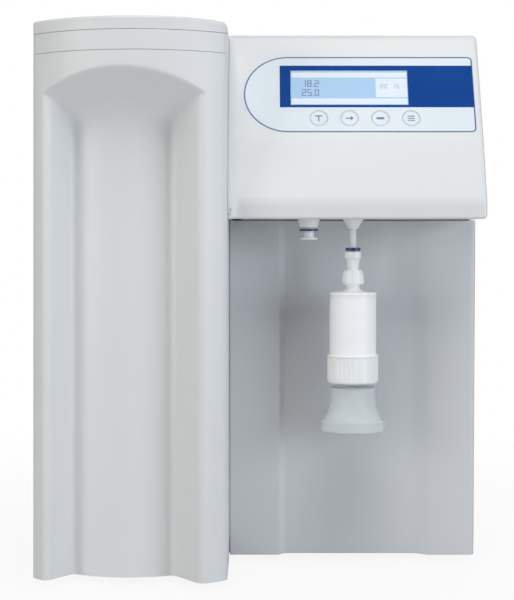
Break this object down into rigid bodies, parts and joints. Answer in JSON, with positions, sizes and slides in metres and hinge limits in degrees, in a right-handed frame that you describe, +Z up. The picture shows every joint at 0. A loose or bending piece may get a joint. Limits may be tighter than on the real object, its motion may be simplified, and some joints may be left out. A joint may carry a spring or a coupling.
{
  "type": "ultrapure water system",
  "caption": "Bench-top ultrapure water system with a fluted hinged pillar door, an overhanging control head and a final filter over a dispensing bay.",
  "frame": {"origin": "centre of the bounding box on the floor, under the feet", "axes": "+X to the right seen from the front, +Y to the back, +Z up"},
  "size_m": [0.427, 0.435, 0.525],
  "materials": {
    "casing": "fine moulded grain",
    "panel": "satin",
    "film": "printed film",
    "window": "lit display",
    "white_plastic": "satin",
    "blue_plastic": "gloss",
    "clear_plastic": "clear moulded",
    "black_plastic": "fine grain",
    "grey_plastic": "satin",
    "rubber": "matte",
    "sheet_steel": "powder coat",
    "steel": "brushed",
    "aluminium": "plain",
    "board": "solder mask",
    "lamp_glass": "clear"
  },
  "bodies": {
    "root": {"base_tray": "sheet_steel", "rubber_feet": "rubber", "left_side_cover": "casing", "right_side_cover": "casing", "middle_wall": "casing", "rear_panel": "panel", "top_cover": "casing", "dispensing_panel": "panel", "head_cover": "casing", "head_underside": "casing", "pillar_header": "casing", "pillar_cap": "casing", "hinge_pins": "steel", "door_catch": "black_plastic", "graphic_film": "film", "display_window": "window", "lcd_module": "board", "key_board": "board", "main_board": "board", "equipment_plate": "sheet_steel", "left_outlet": "white_plastic", "left_clip": "blue_plastic", "right_outlet": "white_plastic", "dispense_tube": "white_plastic", "tube_clip": "blue_plastic", "inlet_fitting": "white_plastic", "capsule_body": "white_plastic", "capsule_membrane": "white_plastic", "capsule_collar": "white_plastic", "outlet_spigot": "white_plastic", "manifold_block": "white_plastic", "cartridge_shelf": "sheet_steel", "ro_module": "white_plastic", "booster_pump": "black_plastic", "pump_motor": "steel", "recirculation_pump": "black_plastic", "uv_housing": "steel", "uv_lamp": "lamp_glass", "solenoid_valves": "black_plastic", "power_supply": "aluminium", "water_ports": "black_plastic", "mains_inlet": "black_plastic", "switch_frame": "black_plastic", "fuse_holder": "black_plastic"},
    "door": {"pillar_door": "casing", "door_strike": "steel"},
    "key_1": {"key_1": "film"},
    "key_2": {"key_2": "film"},
    "key_3": {"key_3": "film"},
    "key_4": {"key_4": "film"},
    "rocker": {"switch_rocker": "black_plastic"},
    "nut": {"union_nut": "white_plastic"},
    "bell": {"filling_bell": "clear_plastic"},
    "pretreatment": {"pretreatment_cartridge": "white_plastic"},
    "ultrapure": {"ultrapure_cartridge": "white_plastic"},
    "feed_collet": {"feed_collet": "grey_plastic"},
    "reject_collet": {"reject_collet": "grey_plastic"},
    "tank_collet": {"tank_collet": "grey_plastic"},
    "left_collet": {"left_collet": "white_plastic"}
  },
  "joints": [
    {"name": "door_swing", "type": "hinge", "parent": "root", "child": "door", "pos_m": [-0.209, -0.11871, 0.25], "axis": [0, 0, -1], "range_deg": [0, 95]},
    {"name": "key_1_press", "type": "slide", "parent": "root", "child": "key_1", "axis": [0, 0.891, -0.454], "range_m": [0, 0.0006], "stiffness_N_per_m": 600, "springref_m": -0.0004},
    {"name": "key_2_press", "type": "slide", "parent": "root", "child": "key_2", "axis": [0, 0.891, -0.454], "range_m": [0, 0.0006], "stiffness_N_per_m": 600, "springref_m": -0.0004},
    {"name": "key_3_press", "type": "slide", "parent": "root", "child": "key_3", "axis": [0, 0.891, -0.454], "range_m": [0, 0.0006], "stiffness_N_per_m": 600, "springref_m": -0.0004},
    {"name": "key_4_press", "type": "slide", "parent": "root", "child": "key_4", "axis": [0, 0.891, -0.454], "range_m": [0, 0.0006], "stiffness_N_per_m": 600, "springref_m": -0.0004},
    {"name": "rocker_tilt", "type": "hinge", "parent": "root", "child": "rocker", "pos_m": [0.1055, 0.20329, 0.066], "axis": [-1, 0, 0], "range_deg": [0, 20]},
    {"name": "nut_turn", "type": "hinge", "parent": "root", "child": "nut", "pos_m": [0.0888, -0.13071, 0.2853], "axis": [0, 0, 1], "range_deg": [0, 540]},
    {"name": "bell_pull", "type": "slide", "parent": "root", "child": "bell", "axis": [0, 0, -1], "range_m": [0, 0.012]},
    {"name": "pretreatment_turn", "type": "hinge", "parent": "root", "child": "pretreatment", "pos_m": [-0.166, -0.06871, 0.2], "axis": [0, 0, 1], "range_deg": [0, 60]},
    {"name": "ultrapure_turn", "type": "hinge", "parent": "root", "child": "ultrapure", "pos_m": [-0.079, -0.06871, 0.2], "axis": [0, 0, 1], "range_deg": [0, 60]},
    {"name": "feed_collet_press", "type": "slide", "parent": "root", "child": "feed_collet", "axis": [0, -1, 0], "range_m": [0, 0.001]},
    {"name": "reject_collet_press", "type": "slide", "parent": "root", "child": "reject_collet", "axis": [0, -1, 0], "range_m": [0, 0.001]},
    {"name": "tank_collet_press", "type": "slide", "parent": "root", "child": "tank_collet", "axis": [0, -1, 0], "range_m": [0, 0.001]},
    {"name": "left_collet_press", "type": "slide", "parent": "root", "child": "left_collet", "axis": [0, 0, 1], "range_m": [0, 0.001]}
  ]
}
